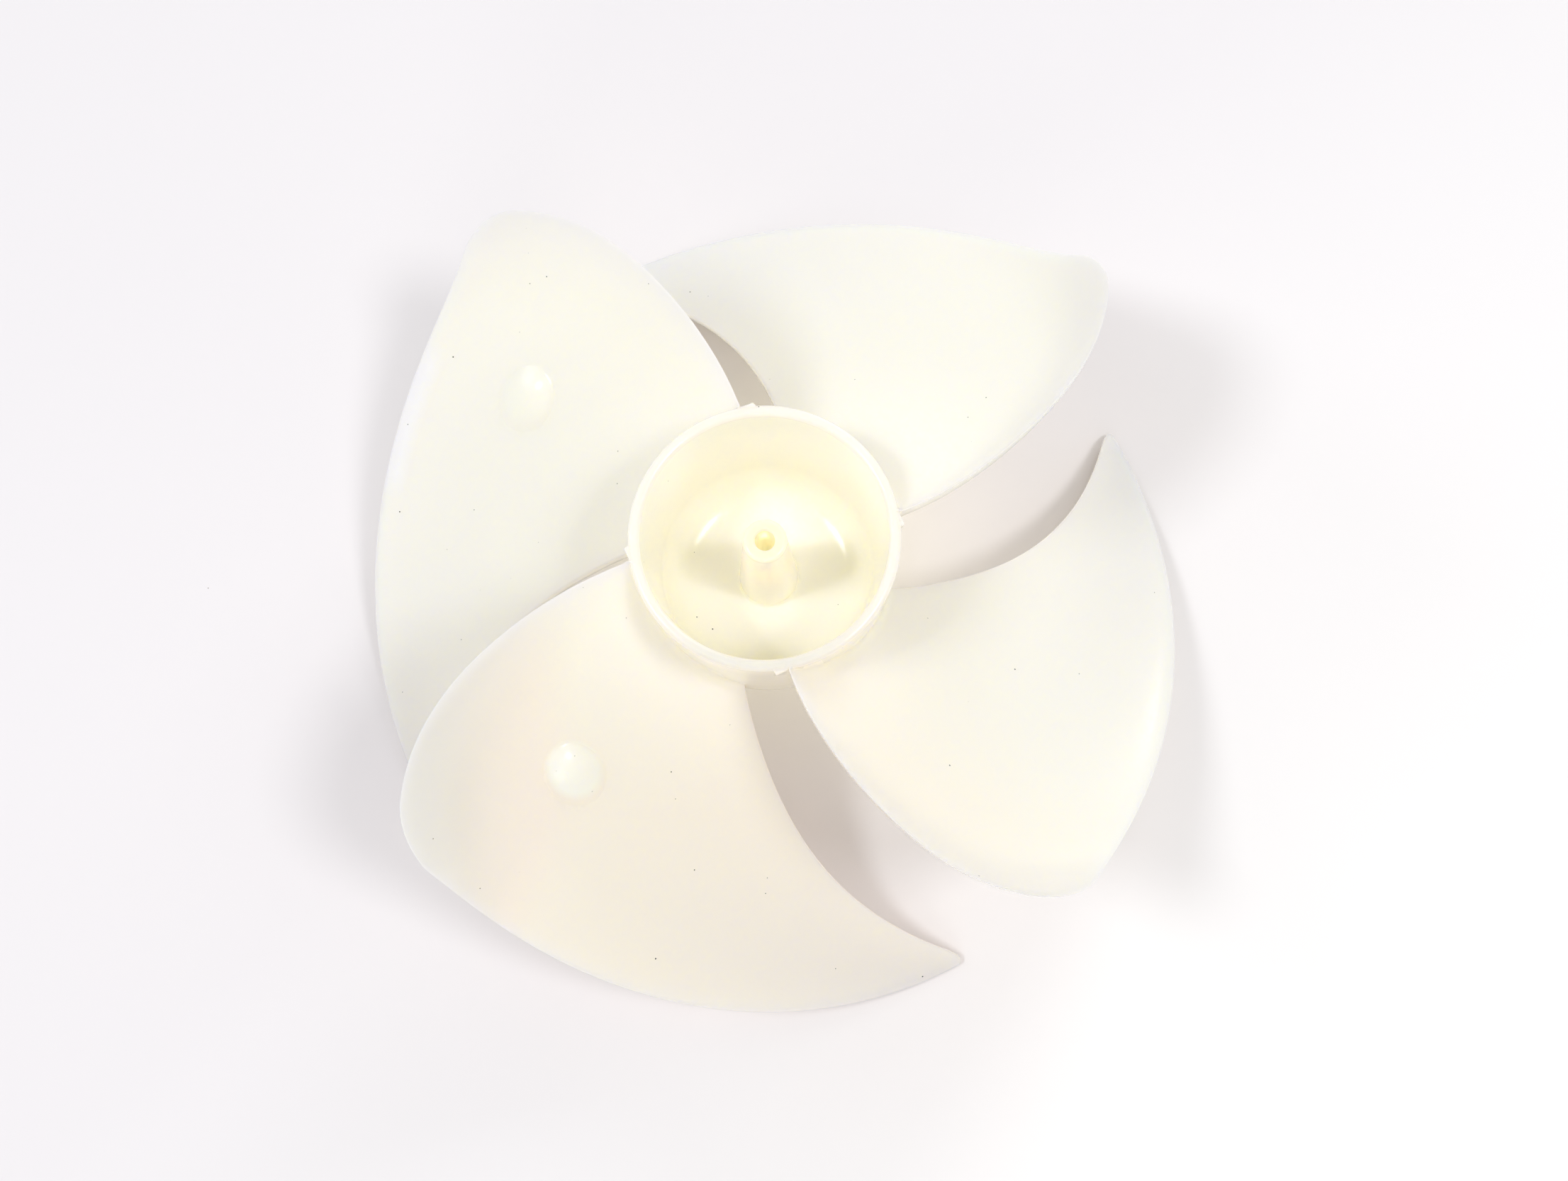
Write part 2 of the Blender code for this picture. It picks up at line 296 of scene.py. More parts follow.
class StageSettings(bpy.types.PropertyGroup):
    paper_tone: colour("Colour of the paper floor", (0.836, 0.820, 0.846))
    # Painted light: the paper's tone on its brighter side, and where that starts and is full
    bright_tone: colour("Colour of the paper on its bright side", (0.955, 0.955, 0.955))
    bright_side: lengths("Start and full strength of that side", (-20.0, 150.0))
    speck_tone: colour("Colour of the specks on the paper", (0.35, 0.33, 0.32))
    paper_roughness: factor("Roughness of the paper", 0.75)
    paper_gloss: factor("Specular level of the paper", 0.2)
    surround: plain("Brightness of the white surround", 0.47)
    light_power: plain("Share of the soft lights' usual power", 1.0)
    cup_power: plain("Share of the cup lights' usual power", 1.0)
    under_power: plain("Watts of the light through the hub's nose", 0.0040)
    bore_power: plain("Watts of the light through the boss", 0.00011)


def by_node(operation):
    """Function that puts two numbers through one Math node."""
    return lambda first, second: maths(operation, first, second)


class Number:
    """Number that varies over a surface. Arithmetic on it adds Math nodes to its node tree."""

    def __init__(self, socket):
        self.socket = socket

    def __rsub__(self, other):
        return maths("SUBTRACT", other, self)

    __add__ = __radd__ = by_node("ADD")
    __sub__ = by_node("SUBTRACT")
    __mul__ = __rmul__ = by_node("MULTIPLY")
    __truediv__ = by_node("DIVIDE")
    __pow__ = by_node("POWER")


def feed(socket, value):
    """Links a varying value to a node's socket, or sets the socket to a constant."""
    if isinstance(value, Number):
        value = value.socket
    if isinstance(value, bpy.types.NodeSocket):
        socket.id_data.links.new(value, socket)
    else:
        socket.default_value = value


def add_node(tree, kind, inputs=None, **settings):
    """New node with its settings, and its inputs fed by name or number."""
    made = tree.nodes.new(kind)
    for name, value in settings.items():
        setattr(made, name, value)
    for name, value in (inputs or {}).items():
        feed(made.inputs[name], value)
    return made


def maths(operation, *values):
    """Result of one Math node."""
    tree = next(value.socket.id_data for value in values if isinstance(value, Number))
    return Number(add_node(tree, "ShaderNodeMath", dict(enumerate(values)), operation=operation).outputs[0])


smaller = by_node("MINIMUM")
larger = by_node("MAXIMUM")


def clamped(value):
    return smaller(larger(value, 0.0), 1.0)


def ramp(value, start, end):
    """Rises from nothing to all between two values."""
    return clamped((value - start) / (end - start))


def eased(share):
    """Share that starts and ends slowly."""
    return 0.5 - maths("COSINE", share * pi) * 0.5


def vector_maths(operation, *vectors):
    """Vector result of one Vector Math node."""
    tree, inputs = vectors[0].id_data, dict(enumerate(vectors))
    return add_node(tree, "ShaderNodeVectorMath", inputs, operation=operation).outputs[0]


def parts_of(vector):
    """X, Y and Z of a vector socket as varying numbers."""
    apart = add_node(vector.id_data, "ShaderNodeSeparateXYZ", {0: vector})
    return [Number(part) for part in apart.outputs]


def vector_of(x, y, z):
    tree = next(value.socket.id_data for value in (x, y, z) if isinstance(value, Number))
    return add_node(tree, "ShaderNodeCombineXYZ", {"X": x, "Y": y, "Z": z}).outputs[0]


def turned(radius, turn, height):
    """Place at an angle round the shaft axis."""
    return vector_of(radius * maths("COSINE", turn), radius * maths("SINE", turn), height)


def round_over(distance, radius):
    """How far a rounded edge has dropped at a distance from the edge."""
    short = larger(radius - larger(distance, 0.0), 0.0)
    return radius - maths("SQRT", larger(radius * radius - short * short, 0.0))


def sizes_of(*groups):
    """Sizes in property groups, by the name of the node socket that each one feeds."""
    sizes = {}
    for group in groups:
        for name in type(group).__annotations__:
            label, value = label_of(name), getattr(group, name)
            if isinstance(value, (int, float)):
                sizes[label] = value
            else:
                sizes.update({f"{label} {place}": part for place, part in enumerate(value, start=1)})
    return sizes


def new_tree(name, sizes, outputs=GEOMETRY):
    """Geometry tree with an input for each size. Gives the tree, its inputs and its output node."""
    tree = bpy.data.node_groups.new(name, "GeometryNodeTree")
    for label, value in sizes.items():
        socket_type = "NodeSocketInt" if isinstance(value, int) else "NodeSocketFloat"
        tree.interface.new_socket(label, in_out="INPUT", socket_type=socket_type).default_value = value
    for label, socket_type in outputs.items():
        tree.interface.new_socket(label, in_out="OUTPUT", socket_type=socket_type)
    source = tree.nodes.new("NodeGroupInput")
    given = {label: Number(source.outputs[label]) for label in sizes}
    return tree, given, tree.nodes.new("NodeGroupOutput")


def stations(given, label):
    return [given[f"{label} {place}"] for place in range(1, len(KNOTS) + 1)]


def along_stations(span, curves):
    """Values at a fraction of the span of smooth curves through their stations."""
    weights = [prod((span - other) / (knot - other) for other in KNOTS if other != knot) for knot in KNOTS]
    return [sum(station * weight for station, weight in zip(curve, weights)) for curve in curves]


def blade_surface_tree(sizes):
    """Group that gives a point of the first blade's upper surface, and the arc across the blade."""
    inputs = {"Radius": 0.0, "Chord": 0.0, **sizes}
    outputs = {"Place": "NodeSocketVector", "Arc": "NodeSocketFloat"}
    tree, given, result = new_tree("Blade surface", inputs, outputs)
    radius, chord, rim = given["Radius"], given["Chord"], given["Rim Radius"]
    span = (radius - rim) / (given["Tip Radius"] - rim)
    curves = [stations(given, label) for label in ("High Angle", "Low Angle", "High Depth", "Low Depth")]
    high_angle, low_angle, high_depth, low_depth = along_stations(span, curves)
    rest = 1.0 - chord
    curl = given["Curl"] * (1.0 - maths("EXPONENT", 0.0 - chord / given["Curl Width"])) * rest**3.0
    cambered = 1.0 - rest ** given["Camber Power"] + curl
    root_camber = given["Root Camber"]
    share = root_camber + (1.0 - root_camber) * clamped(span)
    fall = (1.0 - share) * chord + share * cambered
    turn = high_angle + (low_angle - high_angle) * chord
    depth = high_depth + (low_depth - high_depth) * fall
    feed(result.inputs["Place"], turned(radius, turn, given["Rim Height"] - depth))
    feed(result.inputs["Arc"], radius * (low_angle - high_angle))
    return tree


def small_step(start, end):
    """Step between two near places in millimetres, because a product of steps in metres would be lost
    in rounding."""
    return vector_maths("MULTIPLY", vector_maths("SUBTRACT", end, start), (1 / MM, 1 / MM, 1 / MM))


def level_share(surface_at, radius, chord):
    """Upright part of the upper surface's unit normal."""
    step, across = 0.05 * MM, 0.002
    before, after = larger(chord - across, 0.0), smaller(chord + across, 1.0)
    outward = small_step(surface_at(radius - step, chord)[0], surface_at(radius + step, chord)[0])
    sideways = small_step(surface_at(radius, before)[0], surface_at(radius, after)[0])
    return parts_of(vector_maths("NORMALIZE", vector_maths("CROSS_PRODUCT", outward, sideways)))[2]


def loop_grid(tree, rows, columns):
    """Grid to wrap round a section. Gives its node and, for each point, its fractions along the rows
    and across the section, and its side: 1 above, -1 below and 0 where the ends close."""
    sizes = {"Size X": 1.0, "Size Y": 1.0, "Vertices X": rows + 1, "Vertices Y": columns * 2 + 1}
    grid = add_node(tree, "GeometryNodeMeshGrid", sizes)
    x, y, _ = parts_of(tree.nodes.new("GeometryNodeInputPosition").outputs[0])
    along = x + 0.5
    turn = (y + 0.5) * (2 * pi)
    across = 0.5 - maths("COSINE", turn) * 0.5
    side = smaller(larger(maths("SINE", turn) * SWITCH, -1.0), 1.0)
    open_part = smaller(along * (1.0 - along) * SWITCH, 1.0)
    return grid, along, across, side * open_part


def repeat_round_axis(tree, grid, place, count, material, result):
    """Ends a tree: the points of a grid move to their places, and copies of it, with their material,
    go evenly round the Z axis."""

    def made_by(kind, **inputs):
        return add_node(tree, kind, inputs).outputs[0]

    shaped = made_by("GeometryNodeSetPosition", Geometry=grid.outputs["Mesh"], Position=place)
    merged = made_by("GeometryNodeMergeByDistance", Geometry=shaped, Distance=MERGE_DISTANCE)
    points = made_by("GeometryNodePoints", Count=count)
    turn = vector_of(0.0, 0.0, Number(made_by("GeometryNodeInputIndex")) * (2 * pi) / count)
    copies = made_by("GeometryNodeInstanceOnPoints", Points=points, Instance=merged, Rotation=turn)
    realised = made_by("GeometryNodeRealizeInstances", Geometry=copies)
    finished = made_by("GeometryNodeSetMaterial", Geometry=realised, Material=material)
    feed(result.inputs["Geometry"], finished)


def wall_radius(given, depth):
    """Radius of the hub's drafted outer wall at a depth below the rim."""
    rim, straight_depth = given["Rim Radius"], given["Nose Depth"] - given["Nose Round"]
    return rim - (rim - given["Nose Radius"]) * depth / straight_depth


def blade_tree(sizes, material):
    """Blades as closed plates of even thickness with rounded edges, repeated round the axis."""
    tree, given, result = new_tree("Fan blades", sizes)
    surface = blade_surface_tree(sizes)

    def surface_at(radius, chord):
        group = add_node(tree, "GeometryNodeGroup", node_tree=surface)
        for label, value in {"Radius": radius, "Chord": chord, **given}.items():
            feed(group.inputs[label], value)
        return group.outputs["Place"], Number(group.outputs["Arc"])

    grid, along, chord, side = loop_grid(tree, given["Rows"], given["Columns"])
    rest = 1.0 - chord
    rim, rim_height, tip = given["Rim Radius"], given["Rim Height"], given["Tip Radius"]

    # Tip radius with its two rounded corners, and the drafted hub wall at the root's own height
    last = len(KNOTS)
    tip_arc = tip * (given[f"Low Angle {last}"] - given[f"High Angle {last}"])
    high_corner = round_over(chord * tip_arc, given["High Corner"])
    tip_here = tip - (high_corner + round_over(rest * tip_arc, given["Low Corner"]))
    wall = wall_radius(given, rim_height - parts_of(surface_at(rim, chord)[0])[2])
    start = wall - given["Buried Root"]
    radius = start + (tip_here - start) * eased(along)

    # Upper and lower surface, with the fillet at the hub
    place, arc = surface_at(radius, chord)
    x, y, upper = parts_of(place)
    root_thickness = given["Root Thickness"]
    thickness = root_thickness + (given["Tip Thickness"] - root_thickness) * ramp(radius, rim, tip)
    drop = thickness / larger(level_share(surface_at, radius, chord), given["Steepest Share"])
    fillet = round_over(radius - wall, given["Fillet"])
    top = upper + smaller(fillet, larger(rim_height - given["Rim Gap"] - upper, 0.0))
    bottom = upper - drop - fillet * given["Under Fillet"]

    # Rounded edges
    edge_cut = round_over(smaller(chord, rest) * arc, given["Edge Round"])
    tip_cut = round_over((tip_here - radius) * given["Tip Flatness"], given["Tip Round"])
    half = larger((top - bottom) * 0.5 - larger(edge_cut, tip_cut), 0.0)
    height = (top + bottom) * 0.5 + side * half

    repeat_round_axis(tree, grid, vector_of(x, y, height), given["Count"], material, result)
    return tree


def tooth_tree(sizes, material):
    """Teeth on the hub's wall, each rising steeply to a rounded peak and falling back slowly."""
    tree, given, result = new_tree("Hub teeth", sizes)
    grid, along, across, side = loop_grid(tree, given["Rows"], given["Columns"])
    start, end, top, bottom = given["Start"], given["End"], given["Top"], given["Bottom"]
    down = eased(along)
    depth = top + (bottom - top) * down
    peak = (given["Peak"] - start) / (end - start)
    shape = maths("SMOOTH_MIN", across / peak, (1.0 - across) / (1.0 - peak), given["Blend"])
    rounded = 1.0 - round_over(depth - top, given["Lip"]) / given["Lip"]
    taper = 1.0 - down * down
    wall = wall_radius(given, depth)
    back = wall - given["Back"]
    front = wall + given["Proud"] * clamped(shape) * rounded * taper
    radius = back + (front - back) * larger(side, 0.0)
    place = turned(radius, start + (end - start) * across, given["Rim Height"] - depth)
    repeat_round_axis(tree, grid, place, given["Count"], material, result)
    return tree


def new_object(name, mesh):
    made = bpy.data.objects.new(name, mesh)
    bpy.context.scene.collection.objects.link(made)
    return made


def mesh_from_tree(name, tree, sizes):
    """Object with the plain mesh that a geometry tree makes from these sizes."""
    made = new_object(name, bpy.data.meshes.new(name))
    modifier = made.modifiers.new(tree.name, "NODES")
    modifier.node_group = tree
    for item in tree.interface.items_tree:
        if item.item_type == "SOCKET" and item.in_out == "INPUT":
            modifier[item.identifier] = sizes[item.name]
    depsgraph = bpy.context.evaluated_depsgraph_get()
    mesh = bpy.data.meshes.new_from_object(made.evaluated_get(depsgraph))
    made.modifiers.remove(modifier)
    made.data = mesh
    close_up(mesh, FINE_DISTANCE, face_outwards)


def close_up(mesh, distance, last_step):
    """Merges near points, does a last step and makes sure that no edge is left open."""
    bm = bmesh.new()
    bm.from_mesh(mesh)
    bmesh.ops.remove_doubles(bm, verts=bm.verts, dist=distance)
    last_step(bm)
    open_edges = sum(not edge.is_manifold for edge in bm.edges)
    bm.to_mesh(mesh)
    bm.free()
    if open_edges:
        raise RuntimeError(f"{mesh.name} has {open_edges} open edges")


def face_outwards(bm):
    bmesh.ops.recalc_face_normals(bm, faces=bm.faces)


def drop_degenerate(bm):
    bmesh.ops.dissolve_degenerate(bm, edges=bm.edges, dist=MERGE_DISTANCE)


def mesh_of(bm, name, *materials):
    """Mesh of closed shapes, with their faces outwards."""
    face_outwards(bm)
    mesh = bpy.data.meshes.new(name)
    bm.to_mesh(mesh)
    bm.free()
    for material in materials:
        mesh.materials.append(material)
    return mesh


def arc(centre, radius, start, end, steps):
    """Points of an arc, as radius and height pairs; the angles are in degrees."""
    turns = [radians(start + (end - start) * step / steps) for step in range(steps + 1)]
    return [(centre[0] + radius * cos(turn), centre[1] + radius * sin(turn)) for turn in turns]


def soft_bend(start, corner, end, steps, power):
    """Points of a bend between two straights that would meet in a corner. It leaves and joins them
    smoothly: with a power of 2 it is part of an ellipse, and with a larger one it is softer."""
    points = []
    for step in range(steps + 1):
        turn = 0.5 * pi * step / steps
        to_start, to_end = 1.0 - sin(turn) ** (2.0 / power), 1.0 - cos(turn) ** (2.0 / power)
        ends = zip(start, corner, end)
        points.append(tuple(c + (s - c) * to_start + (e - c) * to_end for s, c, e in ends))
    return points


def straight(start, end, steps):
    """Points between two ends, without the ends."""
    shares = [step / steps for step in range(1, steps)]
    return [tuple(first + (last - first) * share for first, last in zip(start, end)) for share in shares]


def hub_profile(hub):
    """Half section of cup, boss and bore, from the nose's centre round to the bore's bottom."""
    steps = hub.arc_steps
    rim = hub.rim_height
    nose, floor = rim - hub.nose_depth, rim - hub.floor_depth
    boss_end, bore_end = rim - hub.boss_depth, rim - hub.bore_depth
    wall_drop = hub.floor_depth - hub.rim_round - hub.floor_round
    draft = (hub.rim_bore - hub.floor_radius) / wall_drop
    corner = hub.floor_radius - draft * hub.floor_round
    bends = [
        [(0.0, nose)],
        arc((hub.nose_radius - hub.nose_round, nose + hub.nose_round), hub.nose_round, -90, 0, steps),
        arc((hub.rim_radius - hub.rim_round, rim - hub.rim_round), hub.rim_round, 0, 90, steps),
        arc((hub.rim_bore + hub.rim_round, rim - hub.rim_round), hub.rim_round, 90, 180, steps),
        soft_bend(
            (hub.floor_radius, floor + hub.floor_round),
            (corner, floor),
            (corner - hub.floor_round, floor),
            2 * steps,
            hub.floor_softness,
        ),
        arc((hub.foot_radius + hub.foot_round, floor + hub.foot_round), hub.foot_round, 270, 180, steps),
        arc((hub.boss_radius - hub.boss_round, boss_end - hub.boss_round), hub.boss_round, 0, 90, steps),
        arc((hub.bore_radius + hub.bore_round, boss_end - hub.bore_round), hub.bore_round, 90, 180, steps),
        [(hub.bore_radius, bore_end), (0.0, bore_end)],
    ]
    profile = list(bends[0])
    for bend in bends[1:]:
        profile += straight(profile[-1], bend[0], hub.straight_steps) + bend
    return profile


def turned_mesh(name, profile, steps, *materials):
    """Closed mesh from a profile that starts and ends on the Z axis, turned round that axis."""
    bm = bmesh.new()
    points = [bm.verts.new((radius, 0.0, height)) for radius, height in profile]
    edges = [bm.edges.new(pair) for pair in zip(points, points[1:])]
    whole_turn = {"axis": (0, 0, 1), "cent": (0, 0, 0), "angle": 2 * pi}
    bmesh.ops.spin(bm, geom=points + edges, steps=steps, use_merge=True, **whole_turn)
    bmesh.ops.remove_doubles(bm, verts=bm.verts, dist=MERGE_DISTANCE)
    return mesh_of(bm, name, *materials)


def smooth_heights(tree, centre, radius):
    """Heights of a surface round a place, as the six terms of a smooth curved sheet."""
    reach, ring_count, turn_count, above = 1.1 * radius, 7, 16, 1.0
    rows, heights = [], []
    for ring in np.linspace(0.0, reach, ring_count):
        for turn in np.linspace(0.0, 2 * pi, turn_count, endpoint=False):
            x, y = ring * cos(turn), ring * sin(turn)
            hit = tree.ray_cast(Vector((centre.x + x, centre.y + y, above)), Vector((0, 0, -1)))[0]
            rows.append((1.0, x, y, x * x, x * y, y * y))
            heights.append(hit.z)
    return np.linalg.lstsq(np.array(rows), np.array(heights), rcond=None)[0]


def bump_name(number):
    return f"bump_{number + 1}"


def bump_mesh(name, bumps, number, tree, material):
    """Shallow cap that follows the blade under it, with a skirt inside the blade."""
    distance, place, radius = bumps.distances[number], bumps.places[number], bumps.radii[number]
    centre = Vector((distance * cos(place), distance * sin(place), 0.0))
    terms = smooth_heights(tree, centre, radius)
    bm = bmesh.new()

    def point(share, turn, lift):
        x, y = share * radius * cos(turn), share * radius * sin(turn)
        height = float(np.dot(terms, (1.0, x, y, x * x, x * y, y * y)))
        return bm.verts.new((centre.x + x, centre.y + y, height + lift))

    turns = [2 * pi * step / bumps.steps for step in range(bumps.steps)]
    peak, foot = point(0.0, 0.0, bumps.height), point(0.0, 0.0, -bumps.skirt)
    rings = []
    for ring in range(1, bumps.rings + 1):
        share = ring / bumps.rings
        lift = bumps.height * (1 - share**2) ** bumps.softness
        rings.append([point(share, turn, lift) for turn in turns])
    rings.append([point(1.0, turn, -bumps.skirt) for turn in turns])
    for step in range(bumps.steps):
        after = (step + 1) % bumps.steps
        bm.faces.new((peak, rings[0][step], rings[0][after]))
        bm.faces.new((foot, rings[-1][after], rings[-1][step]))
        for inner, outer in zip(rings, rings[1:]):
            bm.faces.new((inner[step], outer[step], outer[after], inner[after]))
    return mesh_of(bm, name, material)


def start_effect(name, *labels):
    """Shared effect. Gives its tree, its Vector input and its number inputs."""
    tree = bpy.data.node_groups.new(name, "ShaderNodeTree")
    tree.interface.new_socket("Vector", in_out="INPUT", socket_type="NodeSocketVector")
    for label in labels:
        tree.interface.new_socket(label, in_out="INPUT", socket_type="NodeSocketFloat")
    source = tree.nodes.new("NodeGroupInput")
    return tree, source.outputs["Vector"], [Number(source.outputs[label]) for label in labels]


def end_effect(tree, results):
    """Ends a shared effect with its results, which are numbers and vectors."""
    for label, value in results.items():
        socket_type = "NodeSocketFloat" if isinstance(value, Number) else "NodeSocketVector"
        tree.interface.new_socket(label, in_out="OUTPUT", socket_type=socket_type)
    add_node(tree, "NodeGroupOutput", results)
    return tree


def cloudy_tone(name):
    """Slow, cloudy change of tone, as moulded plastic and paper have."""
    tree, vector, (scale,) = start_effect(name, "Scale")
    noise = {"Vector": vector, "Scale": scale, "Detail": 2.0, "Roughness": 0.5}
    cloud = add_node(tree, "ShaderNodeTexNoise", noise).outputs[0]
    spread = {"Value": cloud, "From Min": 0.2, "From Max": 0.8}
    tone = add_node(tree, "ShaderNodeMapRange", spread, clamp=True).outputs[0]
    return end_effect(tree, {"Tone": Number(tone)})


def dust_specks(name):
    """Rare dark specks, each a dot of its own size in a cell of a random pattern."""
    tree, vector, (cells, rarity, size) = start_effect(name, "Cells", "Rarity", "Size")
    pattern = add_node(tree, "ShaderNodeTexVoronoi", {"Vector": vector, "Scale": cells})
    chance, girth, _ = parts_of(pattern.outputs["Color"])
    least_girth = 0.4
    dot = maths("LESS_THAN", Number(pattern.outputs["Distance"]), size * (girth + least_girth))
    return end_effect(tree, {"Speck": maths("GREATER_THAN", chance, rarity) * dot})


def worn_end(name):
    """Mask of painted shade on the top of a round part, fading out downwards."""
    tree, vector, (height, depth, radius) = start_effect(name, "Height", "Depth", "Radius")
    x, y, z = parts_of(vector)
    soft_edge = 0.6 * MM
    inside = ramp(maths("SQRT", x * x + y * y), radius + soft_edge, radius)
    return end_effect(tree, {"Wear": ramp(z, height - depth, height) * inside})


def band_along_tips(name):
    """Mask of a painted highlight: a band along the tips, between two angles round the shaft axis."""
    tree, vector, (tip, width, start, end) = start_effect(name, "Tip", "Width", "Start", "End")
    x, y, _ = parts_of(vector)
    turn, soft_end = maths("ARCTAN2", y, x), 0.03
    between = ramp(turn, start - soft_end, start + soft_end) * ramp(turn, end + soft_end, end - soft_end)
    full_share = 0.5
    outside = ramp(maths("SQRT", x * x + y * y), tip - width, tip - width * full_share)
    return end_effect(tree, {"Band": outside * between})


def fine_grain(name):
    """Fine grain of a moulded surface: a small change of gloss and a slight unevenness."""
    tree, vector, _ = start_effect(name)
    noise = {"Vector": vector, "Scale": 900.0, "Detail": 2.0}
    grain = add_node(tree, "ShaderNodeTexNoise", noise).outputs[0]
    gloss = add_node(tree, "ShaderNodeMapRange", {"Value": grain, "To Min": 0.47, "To Max": 0.53})
    bump = add_node(tree, "ShaderNodeBump", {"Strength": 0.06, "Distance": 0.1 * MM, "Height": grain})
    return end_effect(tree, {"Gloss": Number(gloss.outputs[0]), "Normal": bump.outputs[0]})


def new_material(name):
    """New material, its shader node and its Object coordinates."""
    material = bpy.data.materials.new(name)
    material.use_nodes = True
    nodes = material.node_tree.nodes
    return material, nodes["Principled BSDF"], nodes.new("ShaderNodeTexCoord").outputs["Object"]


def effect(maker, place, **inputs):
    """Outputs of a shared effect, placed in a material with its own values."""
    name = label_of(maker.__name__)
    group = bpy.data.node_groups.get(name) or maker(name)
    made = add_node(place.id_data, "ShaderNodeGroup", {"Vector": place, **inputs}, node_tree=group)
    return [Number(output) for output in made.outputs]


def opaque(tone):
    """A constant tone with its opacity. A socket stays as it is."""
    return tone if isinstance(tone, bpy.types.NodeSocket) else (*tone, 1.0)


def mix_tones(amount, first, second):
    """Colour between two colours; each is a socket or a constant."""
    inputs = {0: amount, 6: opaque(first), 7: opaque(second)}
    return add_node(amount.socket.id_data, "ShaderNodeMix", inputs, data_type="RGBA").outputs[2]


def ivory_plastic(name, tone_of, depth):
    """Glossy ivory plastic that lets light through to some depth, with faint dust specks. Its tone is
    made by a function of the places."""
    finish = bpy.context.scene.fan_finish
    material, shader, place = new_material(name)
    (specks,) = effect(dust_specks, place, **PLASTIC_DUST)
    gloss, normal = effect(fine_grain, place)
    inputs = {
        "Base Color": mix_tones(specks, tone_of(place, finish), finish.dust_tone),
        "Specular IOR Level": gloss,
        "Normal": normal,
        "Roughness": finish.roughness,
        "IOR": finish.refraction,
        "Subsurface Weight": 1.0,
        "Subsurface Radius": tuple(finish.depth_tint),
        "Subsurface Scale": depth,
    }
    for label, value in inputs.items():
        feed(shader.inputs[label], value)
    return material


def cloudy(place, light_tone, warm_tone):
    (clouds,) = effect(cloudy_tone, place, Scale=PLASTIC_CLOUDS)
    return mix_tones(clouds, light_tone, warm_tone)


def worn_down(place, tone, height, radius, shade_tone):
    """Tone of a round part with painted shade on its top end."""
    depth = bpy.context.scene.fan_finish.worn_depth
    (end_shade,) = effect(worn_end, place, Height=height, Depth=depth, Radius=radius)
    return mix_tones(end_shade, tone, shade_tone)


def tip_band(place, tone, band_tone, width, ends):
    """Tone with a painted highlight: a band of another tone along the tips, between two angles."""
    tip = bpy.context.scene.fan_blades.tip_radius
    (band,) = effect(band_along_tips, place, Tip=tip, Width=width, Start=ends[0], End=ends[1])
    return mix_tones(band, tone, band_tone)


def bump_tones(x, y, tone, bump_tone):
    """Painted highlight: tone that is paler on the bumps, a little more so on their far sides, which leaves
    their near sides darker as painted shade.
    """
    bumps = bpy.context.scene.fan_bumps
    far_shift, full_share = 0.15, 0.75
    for distance, turn, radius in zip(bumps.distances, bumps.places, bumps.radii):
        from_x = x - distance * cos(turn)
        from_y = y - distance * sin(turn) - far_shift * radius
        apart = maths("SQRT", from_x * from_x + from_y * from_y)
        tone = mix_tones(ramp(apart, radius, full_share * radius), tone, bump_tone)
    return tone


def moulding_tone(place, finish):
    """Ivory with painted highlights that make it paler along the tips, on one tip and on the bumps, and
    painted shade that makes it warmer and greyer at the front left and duller on the rim."""
    hub = bpy.context.scene.fan_hub
    x, y, z = parts_of(place)
    left, front, slant = 0.0 - x, 0.0 - y, 0.6
    tone = cloudy(place, finish.light_tone, finish.warm_tone)
    # Painted highlight along all the tips
    tone = tip_band(place, tone, finish.tip_tone, finish.tip_width, ALL_ROUND)
    # Painted warm shade at the front left
    shaded = ramp(front, *finish.aged_front) * ramp(x + y * slant, *finish.aged_side)
    tone = mix_tones(shaded, tone, finish.aged_tone)
    # Painted grey shade on the front-left blade's high edge
    painted_shade = ramp(left, *finish.stain_left) * ramp(front, *finish.stain_front)
    tone = mix_tones(painted_shade * ramp(z, *finish.stain_height), tone, finish.stain_tone)
    # Painted highlights on the bumps
    tone = bump_tones(x, y, tone, finish.bump_tone)
    # Painted shade on the rim, darkest on its near side
    near_side = ramp(front, *finish.handled_front)
    shade_tone = mix_tones(near_side, finish.worn_tone, finish.handled_tone)
    tone = worn_down(place, tone, hub.rim_height, hub.rim_radius, shade_tone)
    # Painted highlight streak on one tip
    return tip_band(place, tone, finish.rubbed_tone, finish.rubbed_width, finish.rubbed_ends)


def cup_tone(place, finish):
    """Painted light: lighter tone inside the cup, with painted shade on the boss's end."""
    hub = bpy.context.scene.fan_hub
    tone = cloudy(place, finish.cup_tone, finish.cup_warm_tone)
    return worn_down(place, tone, hub.rim_height - hub.boss_depth, hub.boss_radius, finish.boss_tone)


# Painted glow inside the bore
def bore_tone(place, finish):
    return cloudy(place, finish.bore_tone, finish.bore_warm_tone)


def paper(stage):
    """Matt white paper with faint clouds and specks, and painted light that makes it brighter towards the
    front right.
    """
    material, shader, place = new_material("white_paper")
    cloud_shade, slant = 0.985, 0.7
    (clouds,) = effect(cloudy_tone, place, Scale=PAPER_CLOUDS)
    tone = mix_tones(clouds, stage.paper_tone, [cloud_shade * part for part in stage.paper_tone])
    x, y, _ = parts_of(place)
    # Painted light, brighter towards the front right
    tone = mix_tones(ramp((x - y) * slant, *stage.bright_side), tone, stage.bright_tone)
    (specks,) = effect(dust_specks, place, **PAPER_DUST)
    feed(shader.inputs["Base Color"], mix_tones(specks, tone, stage.speck_tone))
    feed(shader.inputs["Roughness"], stage.paper_roughness)
    feed(shader.inputs["Specular IOR Level"], stage.paper_gloss)
    return material


